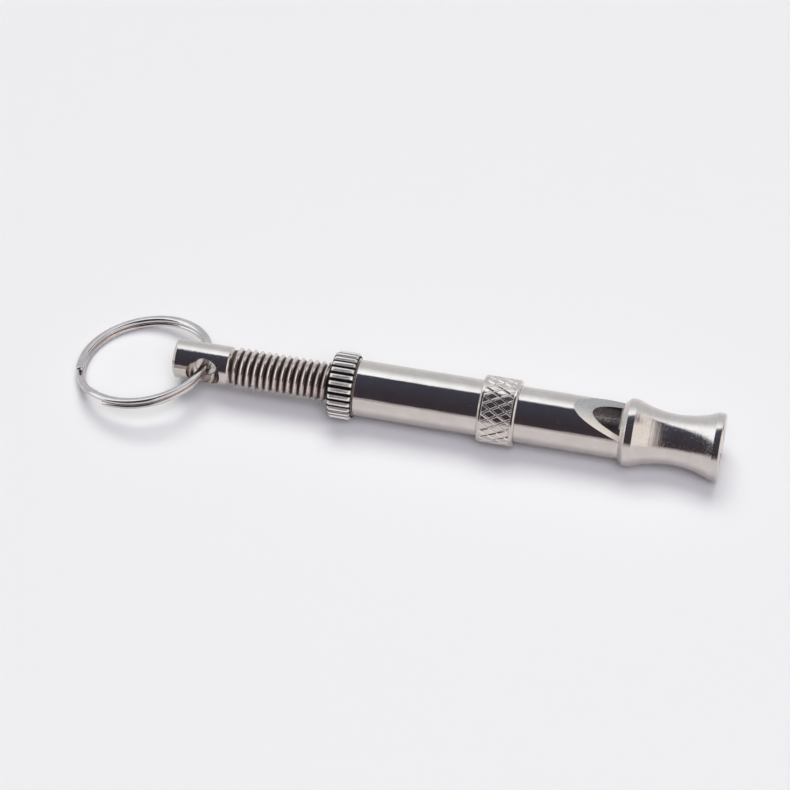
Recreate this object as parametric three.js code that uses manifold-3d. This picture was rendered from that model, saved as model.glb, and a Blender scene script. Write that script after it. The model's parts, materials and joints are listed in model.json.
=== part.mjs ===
// Adjustable training whistle lying on its side, in millimetres, +Z up.
// The whistle's axis runs along X and the mouthpiece points to +X. The origin is the centre
// of the footprint: Z = 0 is the table, and X = 0 and Y = 0 are the middle of the whole length
// and width. Along the axis, stations are measured from the mouthpiece's shoulder: positive
// towards the lips, negative towards the ring.
import * as THREE from "three";
import { mergeVertices } from "three/addons/utils/BufferGeometryUtils.js";
import Module from "manifold-3d";

const wasm = await Module();
wasm.setup();

const DEGREE = Math.PI / 180;

// The mouthpiece rims, the grip band and the lock nut share one radius, so the whistle lies level.
const REST_RADIUS = 4.8;
const RUNNING_CLEARANCE = 0.07;
const SEATED_CLEARANCE = 0.03;
const FACE_GAP = 0.04;
const ROUND_SEGMENTS = 40;

// Barrel: a thin tube, tapped at the ring end and cut away for the voicing window.
const BARREL_RADIUS = 4.0;
const BORE_RADIUS = 3.15;
const BARREL_BACK = -38.1;
const TAPPED_LENGTH = 8.0;
const SOCKET_DEPTH = 2.0;
const WINDOW_BACK = -7.0;
const WINDOW_SLOPE = 17.4 * DEGREE;

// Mouthpiece: two rims with a hollow waist between them, over a socket and an air bore.
const MOUTHPIECE_LENGTH = 14.2;
const WAIST_STATION = 7.5;
const WAIST_RADIUS = 3.6;
const BACK_RIM_END = 1.8;
const BACK_RIM_CHAMFER = 0.75;
const FRONT_RIM_START = 13.1;
const FRONT_RIM_CHAMFER = 0.22;
const AIR_BORE_RADIUS = 2.3;
const LIP_BORE_RADIUS = 2.75;
const LIP_FLARE_LENGTH = 1.3;
const PLENUM_END = 4.9;

// Windway plug: fills the bore apart from a slit along the top.
const PLUG_BACK = -0.4;
const PLUG_FRONT = 3.7;
const WINDWAY_HEIGHT = 0.65;

// Grip band.
const BAND_BACK = -20.1;
const BAND_FRONT = -14.8;
const BAND_CHAMFER = 0.35;

// Lock nut.
const NUT_LENGTH = 3.5;
const NUT_CHAMFER = 0.45;
const NUT_RIDGES = 28;
const NUT_RIDGE_DEPTH = 0.32;

// Screw thread, one millimetre pitch, right-handed. The tap is the same thread with clearance.
const PITCH = 1.0;
const THREAD_SEGMENTS = 18;
const SCREW_THREAD = { root: 2.4, crest: 2.95, crestWidth: 0.14 };
const TAP_THREAD = { root: 2.52, crest: 3.07, crestWidth: 0.3 };

// Tuning screw: a plain head with a cross hole, a threaded shank and a swivel tip.
const EXPOSED_THREAD = 14.6;
const HEAD_RADIUS = 2.83;
const HEAD_LENGTH = 8.4;
const HEAD_CHAMFER = 0.4;
const CROSS_HOLE_FROM_END = 4.6;
const CROSS_HOLE_RADIUS = 1.5;
const MOUTH_RADIUS = 2.45;
const CROSS_HOLE_ROLL = 9 * DEGREE;
const NECK_RADIUS = 1.3;
const COLLAR_RADIUS = 1.7;
const COLLAR_LENGTH = 1.8;

// Tuning piston: closes the bore, and swivels on the screw's tip.
const PISTON_BACK = -28.0;
const PISTON_LENGTH = 5.0;
const PISTON_LIP = 0.8;
const PISTON_CHAMFER = 0.25;

// Split ring: two turns of flattened wire.
const RING_OUTER_RADIUS = 10.0;
const WIRE_WIDTH = 1.1;
const WIRE_HEIGHT = 0.73;
const TURN_SPACING = 0.77;
const WIRE_CORNER = 0.2;
const STEPS_PER_TURN = 44;
const SPLIT_STEP = 27;
const JOG_STEPS = 2;
const END_STEPS = 3;

// Places worked out from the sizes above.
const NUT_FRONT = BARREL_BACK - FACE_GAP;
const NUT_BACK = NUT_FRONT - NUT_LENGTH;
const HEAD_FRONT = NUT_BACK - EXPOSED_THREAD;
const HEAD_BACK = HEAD_FRONT - HEAD_LENGTH;
const HOLE_STATION = HEAD_BACK + CROSS_HOLE_FROM_END;
const FIRST_RIDGE = HEAD_FRONT + 0.8;
const NECK_START = PISTON_BACK - 0.2;
const TAP_FRONT = BARREL_BACK + TAPPED_LENGTH;
const RING_RADIUS = RING_OUTER_RADIUS - WIRE_WIDTH / 2;
const RING_HALF_HEIGHT = (TURN_SPACING + WIRE_HEIGHT) / 2;

/** Drop of the ring's lowest edge below the whistle's axis, when the ring hangs at this tilt. */
function ringDrop(tilt) {
  const level = Math.cos(tilt) * Math.cos(CROSS_HOLE_ROLL);
  const centre = RING_RADIUS * Math.sin(tilt) * Math.cos(CROSS_HOLE_ROLL);
  const edge = (RING_OUTER_RADIUS - WIRE_CORNER) * Math.sqrt(1 - level * level);
  return centre + edge + RING_HALF_HEIGHT * level;
}

/** Angle below level at which the ring's lowest edge just reaches the table, found by halving. */
function ringTilt() {
  let [high, low] = [0, 30 * DEGREE];
  for (let i = 0; i < 40; i += 1) {
    const middle = (high + low) / 2;
    if (ringDrop(middle) < REST_RADIUS) high = middle;
    else low = middle;
  }
  return high;
}

const RING_TILT = ringTilt();
const RING_REACH = (RING_RADIUS + RING_OUTER_RADIUS) * Math.cos(RING_TILT)
  + (RING_HALF_HEIGHT - WIRE_CORNER) * Math.sin(RING_TILT);
const SHOULDER_X = (RING_REACH - HOLE_STATION - MOUTHPIECE_LENGTH) / 2;
const SHOULDER_Y = RING_RADIUS * Math.sin(RING_TILT) * Math.sin(CROSS_HOLE_ROLL);

/** Solid of revolution about X. Points are [station, radius], the outside listed towards +X. */
function turned(points, segments = ROUND_SEGMENTS) {
  const profile = points.map(([station, radius]) => new THREE.Vector2(radius, station));
  return new THREE.LatheGeometry(profile, segments).rotateZ(-90 * DEGREE);
}

/** Round bar or tube with chamfered outer corners. */
function collar(back, front, radius, inner, chamfer, segments = ROUND_SEGMENTS) {
  return turned([
    [back, inner],
    [back, radius - chamfer],
    [back + chamfer, radius],
    [front - chamfer, radius],
    [front, radius - chamfer],
    [front, inner],
    ...(inner > 0 ? [[back, inner]] : []),
  ], segments);
}

/** Geometry to a closed solid for joining and cutting. */
function toSolid(geometry) {
  const bare = new THREE.BufferGeometry();
  bare.setAttribute("position", geometry.getAttribute("position"));
  bare.setIndex(geometry.getIndex());
  const welded = mergeVertices(bare, 1e-4);
  const corners = welded.getIndex().array;
  const triangles = [];
  for (let i = 0; i < corners.length; i += 3) {
    const [a, b, c] = corners.slice(i, i + 3);
    if (a !== b && b !== c && c !== a) triangles.push(a, b, c);
  }
  return new wasm.Manifold(new wasm.Mesh({
    numProp: 3,
    vertProperties: welded.getAttribute("position").array,
    triVerts: new Uint32Array(triangles),
  }));
}

/** Closed solid back to geometry. */
function toGeometry(solid) {
  const mesh = solid.getMesh();
  const geometry = new THREE.BufferGeometry();
  geometry.setAttribute("position", new THREE.BufferAttribute(mesh.vertProperties, 3));
  geometry.setIndex(new THREE.BufferAttribute(mesh.triVerts, 1));
  return geometry;
}

/**
 * Threaded rod about X, from station back to station front. One ridge winds round a round core:
 * its middle crosses the +Y side at firstRidge, then once per pitch for the given turns.
 */
function threadedRod(thread, back, front, firstRidge, turns) {
  const half = thread.crestWidth / 2;
  const lines = [[-PITCH / 2, thread.root], [-half, thread.crest], [half, thread.crest]];
  const positions = [];
  const indices = [];
  const ids = new Map();

  function point(station, radius, step) {
    const angle = (step * 2 * Math.PI) / THREAD_SEGMENTS;
    positions.push(station, radius * Math.cos(angle), radius * Math.sin(angle));
    return positions.length / 3 - 1;
  }

  // A line that ends one turn is the line that starts the next.
  function ridge(line, step) {
    const [j, k] = line < lines.length ? [line, step] : [0, step + THREAD_SEGMENTS];
    const key = `${j},${k}`;
    if (!ids.has(key)) {
      const [offset, radius] = lines[j];
      ids.set(key, point(firstRidge + offset + (k * PITCH) / THREAD_SEGMENTS, radius, k));
    }
    return ids.get(key);
  }

  function face(first, ...rest) {
    for (let i = 0; i + 1 < rest.length; i += 1) {
      indices.push(first, rest[i], rest[i + 1]);
    }
  }

  const last = turns * THREAD_SEGMENTS;
  for (let k = 0; k < last; k += 1) {
    for (let j = 0; j < lines.length; j += 1) {
      face(ridge(j, k), ridge(j, k + 1), ridge(j + 1, k + 1), ridge(j + 1, k));
    }
  }

  const steps = [...Array(THREAD_SEGMENTS).keys()];
  const backRim = steps.map((k) => point(back, thread.root, k));
  const frontRim = steps.map((k) => point(front, thread.root, k));
  const backCentre = point(back, 0, 0);
  const frontCentre = point(front, 0, 0);
  for (const k of steps) {
    const next = (k + 1) % THREAD_SEGMENTS;
    face(backCentre, backRim[next], backRim[k]);
    face(frontCentre, frontRim[k], frontRim[next]);
    if (next !== 0) {
      face(backRim[k], backRim[next], ridge(0, k + 1), ridge(0, k));
    } else {
      face(ridge(0, k), backRim[k], backRim[0], ridge(0, 0), ridge(0, k + 1));
    }
    if (k !== 0) {
      face(ridge(0, last + k), ridge(0, last + k + 1), frontRim[next], frontRim[k]);
    } else {
      face(ridge(0, last + 1), frontRim[1], frontRim[0], ridge(lines.length, last), ridge(0, last));
    }
  }
  const column = [...Array(lines.length + 1).keys()];
  face(...column.map((j) => ridge(j, 0)));
  face(...column.map((j) => ridge(j, last)).reverse());

  const geometry = new THREE.BufferGeometry();
  geometry.setAttribute("position", new THREE.Float32BufferAttribute(positions, 3));
  geometry.setIndex(indices);
  return geometry;
}

/** Wedge that opens the voicing window in the top of the barrel and leaves a sloping flat. */
function windowCutter() {
  const run = 8.5;
  const clear = 6;
  const halfWidth = 5;
  const lowest = BARREL_RADIUS + WINDOW_BACK * Math.tan(WINDOW_SLOPE);
  const outline = new THREE.Shape([
    new THREE.Vector2(0, lowest),
    new THREE.Vector2(0, clear),
    new THREE.Vector2(-run, clear),
    new THREE.Vector2(-run, lowest + run * Math.tan(WINDOW_SLOPE)),
  ]);
  const block = new THREE.ExtrudeGeometry(outline, { depth: 2 * halfWidth, bevelEnabled: false });
  return block.rotateX(90 * DEGREE).translate(0, halfWidth, 0);
}

function barrel() {
  const blank = toSolid(turned([
    [BARREL_BACK, 0],
    [BARREL_BACK, BARREL_RADIUS - 0.2],
    [BARREL_BACK + 0.2, BARREL_RADIUS],
    [SOCKET_DEPTH, BARREL_RADIUS],
    [SOCKET_DEPTH, BORE_RADIUS],
    [TAP_FRONT, BORE_RADIUS],
    [TAP_FRONT, 0],
  ]));
  const ridgesBehind = Math.floor((BARREL_BACK - FIRST_RIDGE) / PITCH) - 1;
  const firstRidge = FIRST_RIDGE + ridgesBehind * PITCH;
  const turns = Math.ceil(TAPPED_LENGTH / PITCH) + 3;
  const tap = threadedRod(TAP_THREAD, BARREL_BACK - 3, TAP_FRONT + 4, firstRidge, turns);
  return toGeometry(blank.subtract(toSolid(tap)).subtract(toSolid(windowCutter())));
}

/** Half of the waist: an arc from the waist's narrowest point out to a rim. */
function waistArc(rimStation, steps) {
  const run = Math.abs(rimStation - WAIST_STATION);
  const rise = REST_RADIUS - WAIST_RADIUS;
  const radius = (run * run + rise * rise) / (2 * rise);
  const side = Math.sign(rimStation - WAIST_STATION);
  const sweep = Math.asin(run / radius);
  return Array.from({ length: steps }, (_, i) => {
    const angle = (sweep * (i + 1)) / steps;
    return [
      WAIST_STATION + side * radius * Math.sin(angle),
      WAIST_RADIUS + radius * (1 - Math.cos(angle)),
    ];
  });
}

function mouthpiece() {
  const socket = BARREL_RADIUS + SEATED_CLEARANCE;
  const plenum = BORE_RADIUS;
  return turned([
    [0, socket],
    [0, REST_RADIUS - BACK_RIM_CHAMFER],
    [BACK_RIM_CHAMFER, REST_RADIUS],
    ...waistArc(BACK_RIM_END, 5).reverse(),
    [WAIST_STATION, WAIST_RADIUS],
    ...waistArc(FRONT_RIM_START, 5),
    [MOUTHPIECE_LENGTH - FRONT_RIM_CHAMFER, REST_RADIUS],
    [MOUTHPIECE_LENGTH, REST_RADIUS - FRONT_RIM_CHAMFER],
    [MOUTHPIECE_LENGTH, LIP_BORE_RADIUS],
    [MOUTHPIECE_LENGTH - LIP_FLARE_LENGTH, AIR_BORE_RADIUS],
    [PLENUM_END, AIR_BORE_RADIUS],
    [PLENUM_END, plenum],
    [SOCKET_DEPTH + FACE_GAP, plenum],
    [SOCKET_DEPTH + FACE_GAP, socket],
    [0, socket],
  ]);
}

/** Round plug with a flat along its top. The gap over the flat is the windway. */
function windwayPlug() {
  const radius = BORE_RADIUS - SEATED_CLEARANCE;
  const flat = BORE_RADIUS - WINDWAY_HEIGHT;
  const half = Math.acos(flat / radius);
  const outline = new THREE.Shape();
  outline.absarc(0, 0, radius, 90 * DEGREE + half, 450 * DEGREE - half, false);
  const depth = PLUG_FRONT - PLUG_BACK;
  const plug = new THREE.ExtrudeGeometry(outline, { depth, bevelEnabled: false, curveSegments: 40 });
  return plug.rotateX(90 * DEGREE).rotateZ(90 * DEGREE).translate(PLUG_BACK, 0, 0);
}

function gripBand() {
  const inner = BARREL_RADIUS + SEATED_CLEARANCE;
  return collar(BAND_BACK, BAND_FRONT, REST_RADIUS, inner, BAND_CHAMFER);
}

/** Straight-ridged nut with chamfered faces. Its bore runs clear of the screw's crests. */
function lockNut() {
  const corners = [];
  for (let i = 0; i < 2 * NUT_RIDGES; i += 1) {
    const radius = i % 2 === 0 ? REST_RADIUS : REST_RADIUS - NUT_RIDGE_DEPTH;
    const angle = -90 * DEGREE + (i * Math.PI) / NUT_RIDGES;
    corners.push(new THREE.Vector2(radius * Math.cos(angle), radius * Math.sin(angle)));
  }
  const outline = new THREE.Shape(corners);
  const ridged = new THREE.ExtrudeGeometry(outline, { depth: NUT_LENGTH, bevelEnabled: false });
  ridged.rotateX(90 * DEGREE).rotateZ(90 * DEGREE).translate(NUT_BACK, 0, 0);
  const wide = REST_RADIUS + 0.01;
  const blank = collar(NUT_BACK, NUT_FRONT, wide, TAP_THREAD.crest, NUT_CHAMFER, 56);
  return toGeometry(toSolid(ridged).intersect(toSolid(blank)));
}

/**
 * Hole across the head, with a ball-cut hollow centred on the surface at each mouth. The screw has
 * stopped with the hole's -Y mouth turned slightly up.
 */
function crossHoleCutter() {
  const reach = HEAD_RADIUS + 0.4;
  const steps = 6;
  const deepest = Math.acos(CROSS_HOLE_RADIUS / MOUTH_RADIUS);
  const hollow = Array.from({ length: steps + 1 }, (_, i) => {
    const angle = (deepest * i) / steps;
    return [HEAD_RADIUS - MOUTH_RADIUS * Math.sin(angle), MOUTH_RADIUS * Math.cos(angle)];
  });
  const spool = turned([
    [-reach, 0],
    [-reach, MOUTH_RADIUS],
    ...hollow.map(([station, radius]) => [-station, radius]),
    ...hollow.reverse(),
    [reach, MOUTH_RADIUS],
    [reach, 0],
  ], 28);
  return spool.rotateZ(90 * DEGREE).rotateX(-CROSS_HOLE_ROLL).translate(HOLE_STATION, 0, 0);
}

function tuningScrew() {
  const joinDepth = 0.5;
  const turns = Math.floor((NECK_START - FIRST_RIDGE) / PITCH) - 1;
  const shank = threadedRod(SCREW_THREAD, HEAD_FRONT - joinDepth, NECK_START, FIRST_RIDGE, turns);
  const head = collar(HEAD_BACK, HEAD_FRONT, HEAD_RADIUS, 0, HEAD_CHAMFER, 40);
  const neckEnd = PISTON_BACK + PISTON_LIP + 0.1;
  const tip = turned([
    [NECK_START - joinDepth, 0],
    [NECK_START - joinDepth, NECK_RADIUS],
    [neckEnd, NECK_RADIUS],
    [neckEnd, COLLAR_RADIUS],
    [neckEnd + COLLAR_LENGTH, COLLAR_RADIUS],
    [neckEnd + COLLAR_LENGTH, 0],
  ], 20);
  const screw = toSolid(shank).add(toSolid(head)).add(toSolid(tip));
  return toGeometry(screw.subtract(toSolid(crossHoleCutter())));
}

/** Plug that closes the barrel, closed at the front, with a lipped socket for the screw's tip. */
function tuningPiston() {
  const radius = BORE_RADIUS - RUNNING_CLEARANCE;
  const front = PISTON_BACK + PISTON_LENGTH;
  const lipRadius = NECK_RADIUS + 0.15;
  const socketRadius = COLLAR_RADIUS + 0.15;
  const lipEnd = PISTON_BACK + PISTON_LIP;
  const socketEnd = lipEnd + COLLAR_LENGTH + 0.3;
  return turned([
    [PISTON_BACK, lipRadius],
    [PISTON_BACK, radius - PISTON_CHAMFER],
    [PISTON_BACK + PISTON_CHAMFER, radius],
    [front - PISTON_CHAMFER, radius],
    [front, radius - PISTON_CHAMFER],
    [front, 0],
    [socketEnd, 0],
    [socketEnd, socketRadius],
    [lipEnd, socketRadius],
    [lipEnd, lipRadius],
    [PISTON_BACK, lipRadius],
  ]);
}

/** Centre line of the ring's wire: one level turn, a jog up by one wire, and a second level turn. */
class RingPath extends THREE.Curve {
  constructor() {
    super();
    this.steps = 2 * (STEPS_PER_TURN - END_STEPS);
  }

  angle(t) {
    return ((SPLIT_STEP + END_STEPS + t * this.steps) * 2 * Math.PI) / STEPS_PER_TURN;
  }

  getPoint(t) {
    const angle = this.angle(t);
    const fromJog = (t - 0.5) * this.steps;
    const rise = THREE.MathUtils.smoothstep(fromJog, -JOG_STEPS, JOG_STEPS) - 0.5;
    return new THREE.Vector3(
      RING_RADIUS * Math.cos(angle),
      RING_RADIUS * Math.sin(angle),
      rise * TURN_SPACING,
    );
  }

  // The wire's flat sides stay level all the way round.
  computeFrenetFrames(segments) {
    const turns = Array.from({ length: segments + 1 }, (_, i) => this.angle(i / segments));
    return {
      tangents: turns.map((a) => new THREE.Vector3(-Math.sin(a), Math.cos(a), 0)),
      normals: turns.map((a) => new THREE.Vector3(-Math.cos(a), -Math.sin(a), 0)),
      binormals: turns.map(() => new THREE.Vector3(0, 0, 1)),
    };
  }

  // Steps are equal in angle, so every step lands on a corner of the same polygon.
  getSpacedPoints(divisions) {
    return this.getPoints(divisions);
  }
}

function splitRing() {
  const x = WIRE_WIDTH / 2;
  const y = WIRE_HEIGHT / 2;
  const c = WIRE_CORNER;
  const corners = [[x - c, -y], [x, -y + c], [x, y - c], [x - c, y]];
  const mirrored = corners.map(([a, b]) => [-a, -b]);
  const wire = new THREE.Shape([...corners, ...mirrored].map(([a, b]) => new THREE.Vector2(a, b)));
  const extrudePath = new RingPath();
  return new THREE.ExtrudeGeometry(wire, { steps: extrudePath.steps, extrudePath });
}

function metal(color, roughness) {
  return new THREE.MeshStandardMaterial({ color, roughness, metalness: 1 });
}

const FINISHES = {
  barrel: metal(0xc6c2be, 0.12),
  mouthpiece: metal(0xc8c4c0, 0.1),
  windway_plug: metal(0xb7b0a6, 0.3),
  grip_band: metal(0xbdb9b4, 0.2),
  lock_nut: metal(0xbbb7b2, 0.22),
  tuning_screw: metal(0xaea79f, 0.2),
  tuning_piston: metal(0xb08d4f, 0.3),
  split_ring: metal(0xc9c8c8, 0.12),
};

function part(name, geometry) {
  const mesh = new THREE.Mesh(geometry, FINISHES[name]);
  mesh.name = name;
  return mesh;
}

function ringOnScrew() {
  const pivot = new THREE.Group();
  pivot.position.x = HOLE_STATION;
  pivot.rotation.set(-CROSS_HOLE_ROLL, -RING_TILT, 0);
  const ring = part("split_ring", splitRing());
  ring.position.x = -RING_RADIUS;
  pivot.add(ring);
  return pivot;
}

const whistle = new THREE.Group();
whistle.position.set(SHOULDER_X, SHOULDER_Y, REST_RADIUS);
whistle.add(
  part("barrel", barrel()),
  part("mouthpiece", mouthpiece()),
  part("windway_plug", windwayPlug()),
  part("grip_band", gripBand()),
  part("lock_nut", lockNut()),
  part("tuning_screw", tuningScrew()),
  part("tuning_piston", tuningPiston()),
  ringOnScrew(),
);

export default whistle;
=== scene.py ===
"""Looks for the training whistle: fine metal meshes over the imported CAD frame, and a studio.

The whistle's lengths are in millimetres until world() turns them into metres. Along its axis they
are stations, measured from the mouthpiece's shoulder: positive towards the lips, negative towards
the ring. The studio's lengths are in metres.
"""

import json
import math

import bmesh
import bpy
from mathutils import Matrix, Vector

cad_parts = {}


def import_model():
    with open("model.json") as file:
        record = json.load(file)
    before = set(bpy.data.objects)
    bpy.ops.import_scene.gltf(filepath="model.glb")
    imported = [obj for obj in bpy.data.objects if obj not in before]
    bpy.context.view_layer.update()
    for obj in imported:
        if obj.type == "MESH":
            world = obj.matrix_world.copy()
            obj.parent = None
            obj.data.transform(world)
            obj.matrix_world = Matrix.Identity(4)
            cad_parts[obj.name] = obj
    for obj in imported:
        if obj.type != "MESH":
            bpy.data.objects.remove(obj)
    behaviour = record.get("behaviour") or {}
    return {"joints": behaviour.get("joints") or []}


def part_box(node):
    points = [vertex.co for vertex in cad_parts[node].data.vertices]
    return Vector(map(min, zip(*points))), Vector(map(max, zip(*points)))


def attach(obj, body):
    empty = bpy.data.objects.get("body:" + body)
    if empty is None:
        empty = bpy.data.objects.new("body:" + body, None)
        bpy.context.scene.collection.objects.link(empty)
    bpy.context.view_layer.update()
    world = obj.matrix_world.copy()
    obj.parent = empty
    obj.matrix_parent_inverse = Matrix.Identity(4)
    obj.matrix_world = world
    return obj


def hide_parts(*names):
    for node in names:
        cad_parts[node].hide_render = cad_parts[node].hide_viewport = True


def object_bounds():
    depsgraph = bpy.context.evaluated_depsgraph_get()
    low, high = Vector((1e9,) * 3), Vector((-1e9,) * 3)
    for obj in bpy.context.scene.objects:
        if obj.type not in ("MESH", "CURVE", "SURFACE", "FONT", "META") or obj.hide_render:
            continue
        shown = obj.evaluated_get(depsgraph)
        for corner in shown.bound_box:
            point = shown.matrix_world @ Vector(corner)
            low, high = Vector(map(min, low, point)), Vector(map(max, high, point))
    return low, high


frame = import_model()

cad_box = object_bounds()
MM = 0.001
TAU = 2 * math.pi
JOINTS = {joint["name"]: joint for joint in frame["joints"]}


# ---------------------------------------------------------------- places, from the frame

def shoulder():
    """The point on the whistle's axis at the mouthpiece's shoulder, in metres."""
    low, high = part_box("mouthpiece")
    return Vector((low.x, (low.y + high.y) / 2, (low.z + high.z) / 2))


SHOULDER = shoulder()


def world(station, y, z):
    """A point beside the whistle's axis, in metres."""
    return SHOULDER + Vector((station, y, z)) * MM


def span(node):
    """A node's back station, front station and radius round the whistle's axis."""
    low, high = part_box(node)
    return (low.x - SHOULDER.x) / MM, (high.x - SHOULDER.x) / MM, (high.y - low.y) / 2 / MM


LIPS = span("mouthpiece")[1]
REST_RADIUS = span("mouthpiece")[2]
BARREL_BACK, BARREL_FRONT, BARREL_RADIUS = span("barrel")
PLUG_BACK, PLUG_FRONT, PLUG_RADIUS = span("windway_plug")
BAND_BACK, BAND_FRONT, BAND_RADIUS = span("grip_band")
NUT_BACK, NUT_FRONT, NUT_RADIUS = span("lock_nut")
SCREW_BACK, SCREW_FRONT, CREST_RADIUS = span("tuning_screw")
PISTON_BACK, PISTON_FRONT, PISTON_RADIUS = span("tuning_piston")
SWING_AXIS = Vector(JOINTS["ring_swing"]["axis"])
HOLE_ROLL = math.atan2(-SWING_AXIS.z, SWING_AXIS.y)
HOLE_STATION = (JOINTS["ring_swing"]["pos_m"][0] - SHOULDER.x) / MM

# ---------------------------------------------------------------- sizes inside the pieces

BORE_RADIUS = 3.15
TAPPED_LENGTH = 8.0
TAPPED_RADIUS = 3.05
SEATED_CLEARANCE = 0.03
FACE_GAP = 0.04
EDGE_ROUND = 0.06
WINDOW_BACK = -7.0
WINDOW_SLOPE = math.radians(17.4)
BARREL_CHAMFER = 0.2

WAIST_STATION = 7.5
WAIST_RADIUS = 3.6
BACK_RIM_END = 1.8
BACK_RIM_CHAMFER = 0.75
FRONT_RIM_START = 13.1
FRONT_RIM_CHAMFER = 0.22
AIR_BORE_RADIUS = 2.3
LIP_BORE_RADIUS = 2.75
LIP_FLARE_LENGTH = 1.3
PLENUM_END = 4.9
WINDWAY_HEIGHT = 0.65

BAND_RIM = 0.55
BAND_CHAMFER = 0.22
KNURL_STARTS = 22
KNURL_ANGLE = math.radians(30)
KNURL_SINK = 0.03
KNURL_DEPTH = 0.16
KNURL_GROOVE = 0.2

NUT_CHAMFER = 0.45
NUT_COUNTERSINK = 0.25
NUT_CLEARANCE = 0.12
NUT_RIDGES = 28
NUT_GROOVE_DEPTH = 0.48
# Of half a ridge's pitch, the shares taken by the ridge's top and its flank. The crown is the
# height of the rounded top. Its bow is 1 for half an ellipse, and nears 0 for a parabola.
NUT_TOP = 0.54
NUT_FLANK = 0.14
NUT_CROWN = 0.2
NUT_CROWN_BOW = 0.96

PITCH = 1.0
THREAD_SHARPNESS = 0.96
HIDDEN_OVERLAP = 0.6
RUN_OUT_START = 0.25
RUN_OUT_LENGTH = 0.5
LEAD_IN_LENGTH = 0.6
LEAD_IN_HEIGHT = 0.15
ROOT_RADIUS = 2.4
HEAD_RADIUS = 2.83
HEAD_LENGTH = 8.4
HEAD_CHAMFER = 0.4
CROSS_HOLE_RADIUS = 1.5
MOUTH_RADIUS = 2.45
NECK_RADIUS = 1.3
COLLAR_RADIUS = 1.7
COLLAR_LENGTH = 1.8
PISTON_LIP = 0.8
PISTON_CHAMFER = 0.25
CRIMP_CLEARANCE = 0.15

RING_OUTER_RADIUS = 10.0
WIRE_WIDTH = 1.1
WIRE_HEIGHT = 0.73
TURN_SPACING = 0.77
# Angles round the ring, from its place in the cross hole: the split between the wire's ends, half
# the length of the jog, the gap from the split to an end, and the length of an end's rounding.
RING_SPLIT = TAU * 27 / 44
RING_JOG = TAU * 2 / 44
RING_END = TAU * 3 / 44
WIRE_END_ROUND = 0.035

HEAD_FRONT = SCREW_BACK + HEAD_LENGTH
NECK_START = PISTON_BACK - 0.2
RING_RADIUS = RING_OUTER_RADIUS - WIRE_WIDTH / 2


# ---------------------------------------------------------------- mesh helpers

def build(name, points, faces, materials, sharp=28):
    """Closed mesh object from points in whistle millimetres. Edges that turn by more than sharp
    degrees stay sharp."""
    mesh = bpy.data.meshes.new(name)
    mesh.from_pydata([world(*point) for point in points], [], faces)
    work = bmesh.new()
    work.from_mesh(mesh)
    bmesh.ops.remove_doubles(work, verts=work.verts, dist=1e-7)
    bmesh.ops.recalc_face_normals(work, faces=work.faces)
    work.to_mesh(mesh)
    work.free()
    for material in materials:
        mesh.materials.append(material)
    shade(mesh, sharp)
    piece = bpy.data.objects.new(name, mesh)
    bpy.context.scene.collection.objects.link(piece)
    return piece


def shade(mesh, sharp):
    """Smooth shading, apart from edges that turn by more than sharp degrees."""
    mesh.polygons.foreach_set("use_smooth", [True] * len(mesh.polygons))
    mesh.set_sharp_from_angle(angle=math.radians(sharp))
    mesh.update()


def skin(loops, wrap=False):
    """Points and faces of a surface through loops of points. A loop of one point closes an end."""
    points = [point for loop in loops for point in loop]
    starts = [sum(len(loop) for loop in loops[:i]) for i in range(len(loops))]
    faces = []
    last = len(loops) if wrap else len(loops) - 1
    for i in range(last):
        j = (i + 1) % len(loops)
        size_a = len(loops[i])
        size_b = len(loops[j])
        for k in range(max(size_a, size_b)):
            corners = [
                starts[i] + k % size_a,
                starts[i] + (k + 1) % size_a,
                starts[j] + (k + 1) % size_b,
                starts[j] + k % size_b,
            ]
            faces.append(list(dict.fromkeys(corners)))
    return points, faces


def circle(station, radius, segments):
    """Loop round the axis; radius is a number or a function of the angle."""
    if radius == 0:
        return [(station, 0, 0)]
    loop = []
    for k in range(segments):
        angle = TAU * k / segments
        r = radius(angle) if callable(radius) else radius
        loop.append((station, r * math.sin(angle), r * math.cos(angle)))
    return loop


def lathe(profile, segments):
    """Surface of revolution. The profile starts and ends on the axis, or closes on itself."""
    closed = profile[0] == profile[-1]
    rows = profile[:-1] if closed else profile
    return skin([circle(s, r, segments) for s, r in rows], wrap=closed)


def rounded(profile, radius, steps=4, least_turn=20):
    """The profile with its corners rounded off, apart from its ends and its gentle bends."""
    closed = profile[0] == profile[-1]
    pts = [Vector(p) for p in (profile[:-1] if closed else profile)]
    count = len(pts)
    out = []
    for i, here in enumerate(pts):
        if not closed and i in (0, count - 1):
            out.append(tuple(here))
            continue
        to_back = pts[i - 1] - here
        to_front = pts[(i + 1) % count] - here
        turn = math.pi - to_back.angle(to_front)
        if turn < math.radians(least_turn):
            out.append(tuple(here))
            continue
        reach = min(radius * math.tan(turn / 2), 0.45 * to_back.length, 0.45 * to_front.length)
        start = here + to_back.normalized() * reach
        end = here + to_front.normalized() * reach
        for step in range(steps + 1):
            t = step / steps
            out.append(tuple(start * (1 - t) ** 2 + here * 2 * t * (1 - t) + end * t ** 2))
    return out + [out[0]] if closed else out


def cut(piece, cutter):
    """Takes cutter away from piece and removes cutter."""
    modifier = piece.modifiers.new("cut", "BOOLEAN")
    modifier.operation = "DIFFERENCE"
    modifier.solver = "EXACT"
    modifier.object = cutter
    depsgraph = bpy.context.evaluated_depsgraph_get()
    result = bpy.data.meshes.new_from_object(piece.evaluated_get(depsgraph))
    piece.modifiers.clear()
    old = piece.data
    name = old.name
    piece.data = result
    bpy.data.meshes.remove(old)
    result.name = name
    bpy.data.objects.remove(cutter)


def axis_distance(point):
    """Distance of a point, given in metres, from the whistle's axis, in millimetres."""
    offset = point - SHOULDER
    return math.hypot(offset.y, offset.z) / MM


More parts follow.
